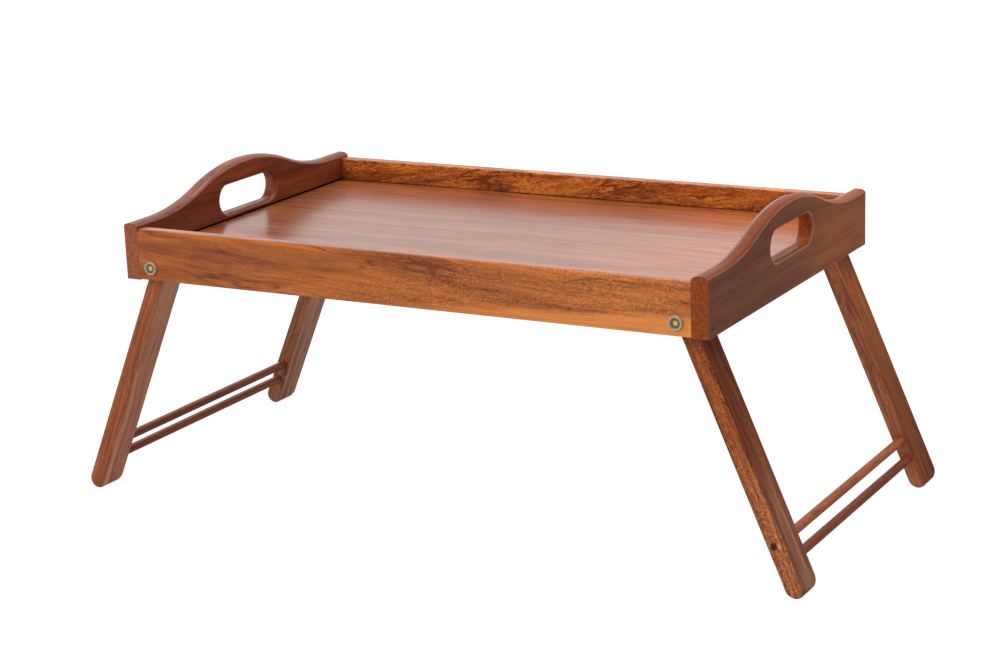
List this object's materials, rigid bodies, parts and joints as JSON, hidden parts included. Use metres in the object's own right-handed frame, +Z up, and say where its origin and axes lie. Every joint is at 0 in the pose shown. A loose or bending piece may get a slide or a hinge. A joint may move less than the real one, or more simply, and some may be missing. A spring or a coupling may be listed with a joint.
{
  "type": "folding tray table",
  "caption": "Wooden bed tray with raised rails, curved end boards with hand slots, and splayed leg frames joined by dowels that fold flat under the tray.",
  "frame": {"origin": "on the floor under the middle of the table, with the legs open", "axes": "+X along the tray to its right end board, -Y towards the sitter, +Z up"},
  "size_m": [0.7048, 0.351, 0.2862],
  "materials": {
    "board_wood": "satin lacquer over dark red-brown hardwood",
    "rail_wood": "satin lacquer over figured golden-brown hardwood",
    "panel_veneer": "glossy lacquer over straight-grained veneer",
    "leg_wood": "satin lacquer over mottled brown hardwood",
    "stretcher_wood": "satin lacquer over reddish dowel",
    "joint_dowel": "plain fluted beech dowel, glued",
    "bolt_brass": "antique brass plating",
    "washer_steel": "zinc plated"
  },
  "bodies": {
    "tray": {"end_board_right": "board_wood", "end_board_left": "board_wood", "front_rail": "rail_wood", "back_rail": "rail_wood", "tray_panel": "panel_veneer", "corner_dowel_front_right_upper": "joint_dowel", "corner_dowel_back_right_upper": "joint_dowel", "corner_dowel_front_left_upper": "joint_dowel", "corner_dowel_back_left_upper": "joint_dowel", "corner_dowel_front_right_lower": "joint_dowel", "corner_dowel_back_right_lower": "joint_dowel", "corner_dowel_front_left_lower": "joint_dowel", "corner_dowel_back_left_lower": "joint_dowel", "pivot_bolt_front_right": "bolt_brass", "pivot_bolt_back_right": "bolt_brass", "pivot_bolt_front_left": "bolt_brass", "pivot_bolt_back_left": "bolt_brass", "pivot_nut_front_right": "bolt_brass", "pivot_nut_back_right": "bolt_brass", "pivot_nut_front_left": "bolt_brass", "pivot_nut_back_left": "bolt_brass", "pivot_washer_front_right": "washer_steel", "pivot_washer_back_right": "washer_steel", "pivot_washer_front_left": "washer_steel", "pivot_washer_back_left": "washer_steel"},
    "right_leg_frame": {"leg_front_right": "leg_wood", "leg_back_right": "leg_wood", "stretcher_right_upper": "stretcher_wood", "stretcher_right_lower": "stretcher_wood"},
    "left_leg_frame": {"leg_front_left": "leg_wood", "leg_back_left": "leg_wood", "stretcher_left_upper": "stretcher_wood", "stretcher_left_lower": "stretcher_wood"}
  },
  "joints": [
    {"name": "right_leg_fold", "type": "hinge", "parent": "tray", "child": "right_leg_frame", "pos_m": [0.2526, 0, 0.22054], "axis": [0, 1, 0], "range_deg": [0, 113.4]},
    {"name": "left_leg_fold", "type": "hinge", "parent": "tray", "child": "left_leg_frame", "pos_m": [-0.2526, 0, 0.22054], "axis": [0, -1, 0], "range_deg": [0, 113.4]}
  ]
}
